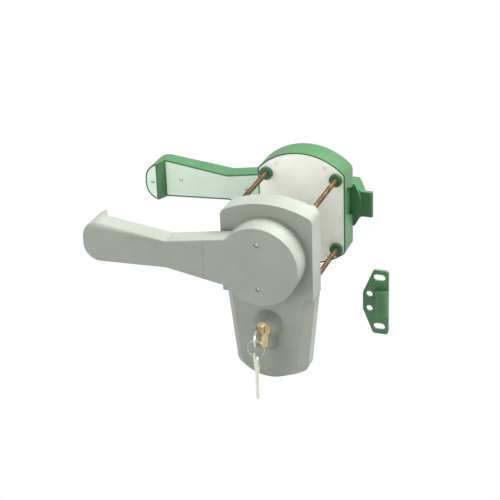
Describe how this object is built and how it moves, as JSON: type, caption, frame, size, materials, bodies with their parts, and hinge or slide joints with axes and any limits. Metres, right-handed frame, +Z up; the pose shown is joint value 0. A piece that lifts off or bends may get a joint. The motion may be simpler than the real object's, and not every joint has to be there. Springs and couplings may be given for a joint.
{
  "type": "swing handle lock",
  "caption": "Swing lever lock for a thick insulated door: two halves clamped on rods, with key cylinder, latch tongue, keeper and keys.",
  "frame": {"origin": "on the axis of the square spindle, at the outside face of the door leaf", "axes": "+X from the levers towards the door frame, +Y through the door leaf into the room, +Z up"},
  "size_m": [0.3277, 0.2526, 0.2393],
  "materials": {
    "grey_polyamide": "satin",
    "green_polyamide": "satin",
    "white_plastic": "matt",
    "mint_luminous_plastic": "matt",
    "acetal": "satin",
    "copper_finished_steel": "satin",
    "zinc_plated_steel": "satin",
    "die_cast_zinc": "as cast",
    "brass": "satin",
    "nickel_silver": "polished",
    "green_coated_metal": "satin"
  },
  "bodies": {
    "lock_case": {"outside_housing": "grey_polyamide", "outside_rod_collars": "grey_polyamide", "inside_rod_collars": "green_polyamide", "outside_back_plate": "grey_polyamide", "back_plate_screws": "zinc_plated_steel", "outside_hub_ring": "grey_polyamide", "outside_bush": "acetal", "stop_pin": "zinc_plated_steel", "bolt_guide": "die_cast_zinc", "cylinder_body": "brass", "cylinder_screw": "zinc_plated_steel", "threaded_rods": "copper_finished_steel", "rod_washers": "zinc_plated_steel", "rod_nuts": "zinc_plated_steel", "inside_housing": "green_polyamide", "seat_plate": "white_plastic", "seat_plate_screws": "zinc_plated_steel", "inside_hub_ring": "green_polyamide", "inside_bush": "acetal", "keeper": "green_coated_metal"},
    "outside_swing": {"outside_lever": "grey_polyamide", "outside_hub_cover": "grey_polyamide", "outside_hub_screws": "zinc_plated_steel", "outside_arm_plate": "grey_polyamide", "outside_tip_plate": "grey_polyamide", "outside_arm_screws": "zinc_plated_steel", "outside_clip": "zinc_plated_steel", "square_spindle": "zinc_plated_steel", "locking_disc": "die_cast_zinc", "drive_dog": "die_cast_zinc"},
    "inside_swing": {"inside_lever": "green_polyamide", "inside_hub_cover": "green_polyamide", "inside_hub_screws": "zinc_plated_steel", "inside_arm_plate": "mint_luminous_plastic", "inside_tip_plate": "mint_luminous_plastic", "inside_arm_screws": "zinc_plated_steel", "inside_clip": "zinc_plated_steel", "driven_dog": "die_cast_zinc"},
    "plug": {"cylinder_plug": "brass", "cylinder_cam": "zinc_plated_steel"},
    "bolt": {"lock_bolt": "die_cast_zinc"},
    "key_in_lock": {"key": "nickel_silver"},
    "ring": {"key_ring": "zinc_plated_steel"},
    "hanging_key": {"spare_key": "nickel_silver"}
  },
  "joints": [
    {"name": "outside_lever_turn", "type": "hinge", "parent": "lock_case", "child": "outside_swing", "pos_m": [0, 0, 0], "axis": [0, 1, 0], "range_deg": [0, 40]},
    {"name": "inside_lever_turn", "type": "hinge", "parent": "lock_case", "child": "inside_swing", "pos_m": [0, 0.135, 0], "axis": [0, 1, 0], "range_deg": [0, 40]},
    {"name": "key_turn", "type": "hinge", "parent": "lock_case", "child": "plug", "pos_m": [0, -0.0475, -0.086], "axis": [0, 1, 0], "range_deg": [0, 90]},
    {"name": "bolt_slide", "type": "slide", "parent": "lock_case", "child": "bolt", "axis": [0, 0, 1], "range_m": [0, 0.01577]},
    {"name": "key_pull", "type": "slide", "parent": "plug", "child": "key_in_lock", "axis": [0, -1, 0], "range_m": [0, 0.036]},
    {"name": "ring_swing", "type": "hinge", "parent": "key_in_lock", "child": "ring", "pos_m": [0, -0.0746, -0.0868], "axis": [0, 1, 0], "range_deg": [-40, 40]},
    {"name": "spare_key_swing", "type": "hinge", "parent": "ring", "child": "hanging_key", "pos_m": [0, -0.0746, -0.1074], "axis": [1, 0, 0], "range_deg": [-40, 40]}
  ],
  "couplings": [
    {"joint": "inside_lever_turn", "follows": "outside_lever_turn", "ratio": 1},
    {"joint": "bolt_slide", "follows": "key_turn", "m_per_rad": 0.010039}
  ]
}
